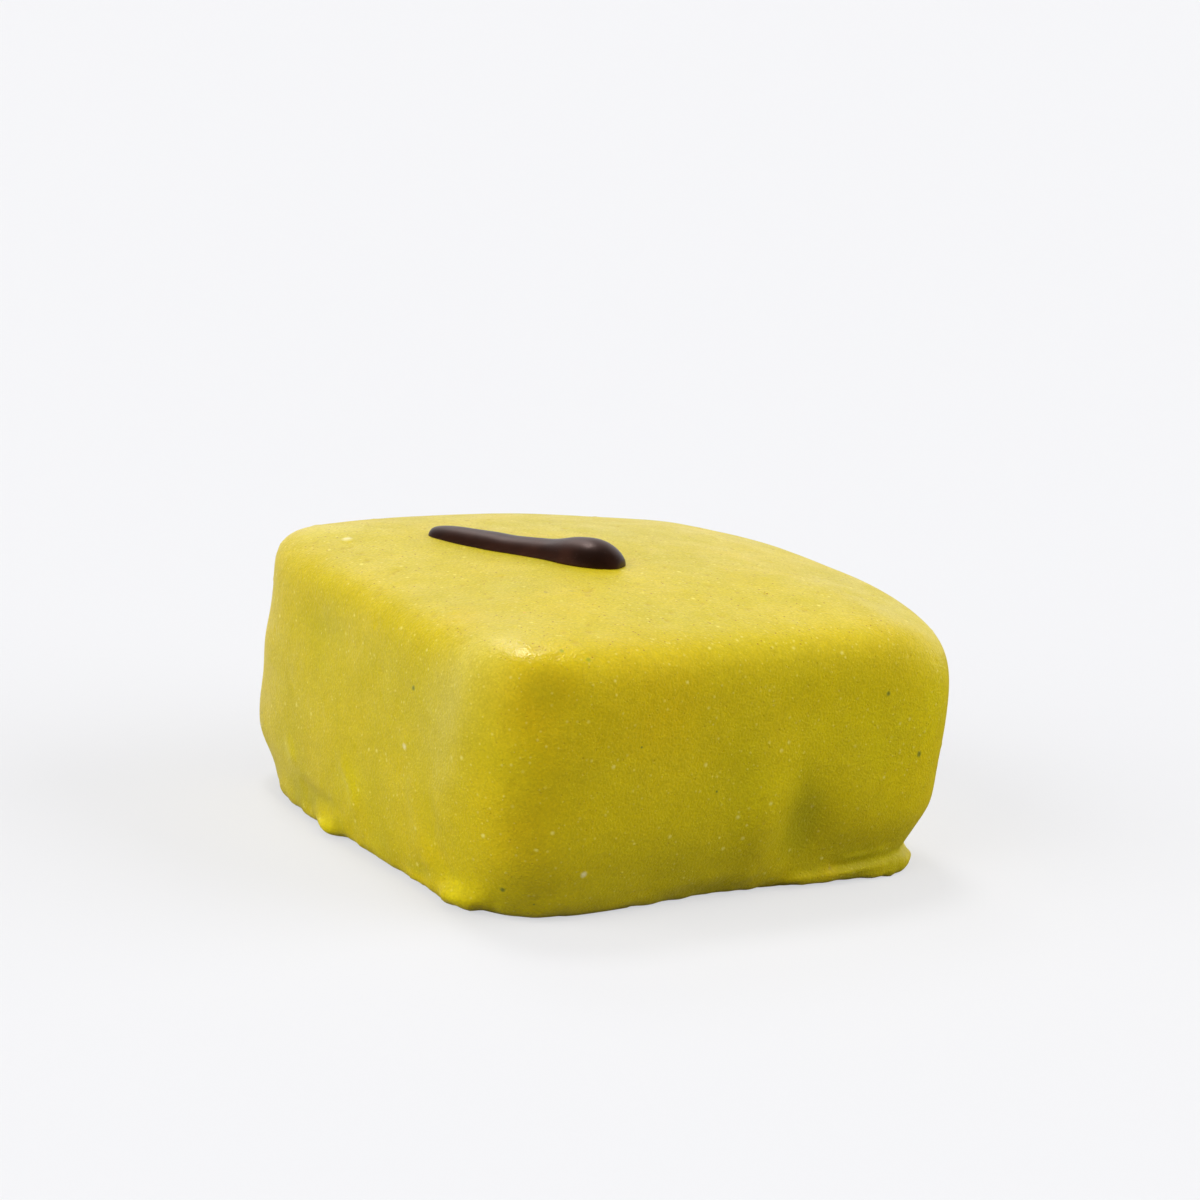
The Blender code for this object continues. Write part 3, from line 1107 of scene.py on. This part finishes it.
def coating_finish():
    material, tree, shader, place, turned = new_material("fruit_coating")
    effects = effects_of(tree, turned, COATING_CLOUDS, COATING_SPECKS)
    effects.update((name, attribute_of(tree, name)) for name in ("crumbs", "pits", "top", "smooth"))
    colour = slow_colours(tree, effects["drift"])
    colour = fine_colours(tree, effects, colour)
    colour = single_grains(tree, place, colour)
    tree.links.new(colour, shader.inputs["Base Color"])

    rough = weighted(tree, effects, ROUGHNESS_WEIGHTS, COAT_ROUGHNESS)
    tree.links.new(rough, shader.inputs["Roughness"])
    height = weighted(tree, effects, HEIGHT_WEIGHTS)
    height = math_node(tree, "MULTIPLY", height, weighted(tree, effects, FLATTER_WHERE_SMOOTH, 1.0))
    tree.links.new(add_bump(tree, height, COAT_BUMP, COAT_BUMP_DEPTH), shader.inputs["Normal"])

    shader.inputs["Specular Tint"].default_value = (1.0, 0.92, 0.66, 1)
    shader.inputs["Subsurface Weight"].default_value = 0.2
    shader.inputs["Subsurface Radius"].default_value = (1.0, 0.75, 0.06)
    shader.inputs["Subsurface Scale"].default_value = 0.7 * MM
    return material


skin.data.materials.clear()
skin.data.materials.append(coating_finish())
print("coating finish placed on", skin.name)

# %% [markdown]
# ## The chocolate's finish
#
# Dark chocolate that sets in the air is satin: it mirrors the backdrop as a soft grey sheen and is nearly
# black where it mirrors the dark room. It has a faint, uneven bloom, and a few tiny bubbles.

# %% The chocolate's finish
CHOCOLATE_DARK = (0.012, 0.004, 0.002, 1)
CHOCOLATE_WARM = (0.034, 0.010, 0.005, 1)
BLOOM = (0.14, 0.10, 0.085, 1)
CHOCOLATE_CLOUDS = {"drift": (2.0, 2.5, 3.0)}
CHOCOLATE_SPECKS = {"bloom": (5000.0, 0.4, 0.35, 0.9), "bubbles": (2600.0, 0.15, 0.30, 0.8)}
CHOCOLATE_ROUGHNESS = 0.36
CHOCOLATE_BUMP = 0.3
CHOCOLATE_BUMP_DEPTH = 0.05 * MM


def chocolate_finish():
    material, tree, shader, _, turned = new_material("dark_chocolate")
    effects = effects_of(tree, turned, CHOCOLATE_CLOUDS, CHOCOLATE_SPECKS)
    colour = blend(tree, effects["drift"], CHOCOLATE_DARK, CHOCOLATE_WARM)
    colour = blend(tree, weighted(tree, effects, {"bloom": 0.15}), colour, BLOOM)
    tree.links.new(colour, shader.inputs["Base Color"])
    rough = weighted(tree, effects, {"drift": 0.08}, CHOCOLATE_ROUGHNESS)
    tree.links.new(rough, shader.inputs["Roughness"])
    height = weighted(tree, effects, {"drift": 0.6, "bubbles": -0.8})
    normal = add_bump(tree, height, CHOCOLATE_BUMP, CHOCOLATE_BUMP_DEPTH)
    tree.links.new(normal, shader.inputs["Normal"])
    shader.inputs["Specular Tint"].default_value = (0.9, 0.62, 0.55, 1)
    return material


stem.data.materials.append(chocolate_finish())
print("chocolate finish placed on", stem.name)

# %% [markdown]
# ## Handing the pieces to the frame
#
# Each piece rides on the frame's one body and stands for the plain solid that it was made from, which is
# hidden.

# %% Handing the pieces to the frame
for piece, node, slot in (
    (skin, "coated_block", "fruit_coating"),
    (stem, "chocolate_stem", "dark_chocolate"),
):
    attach(piece, "root")
    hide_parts(node)
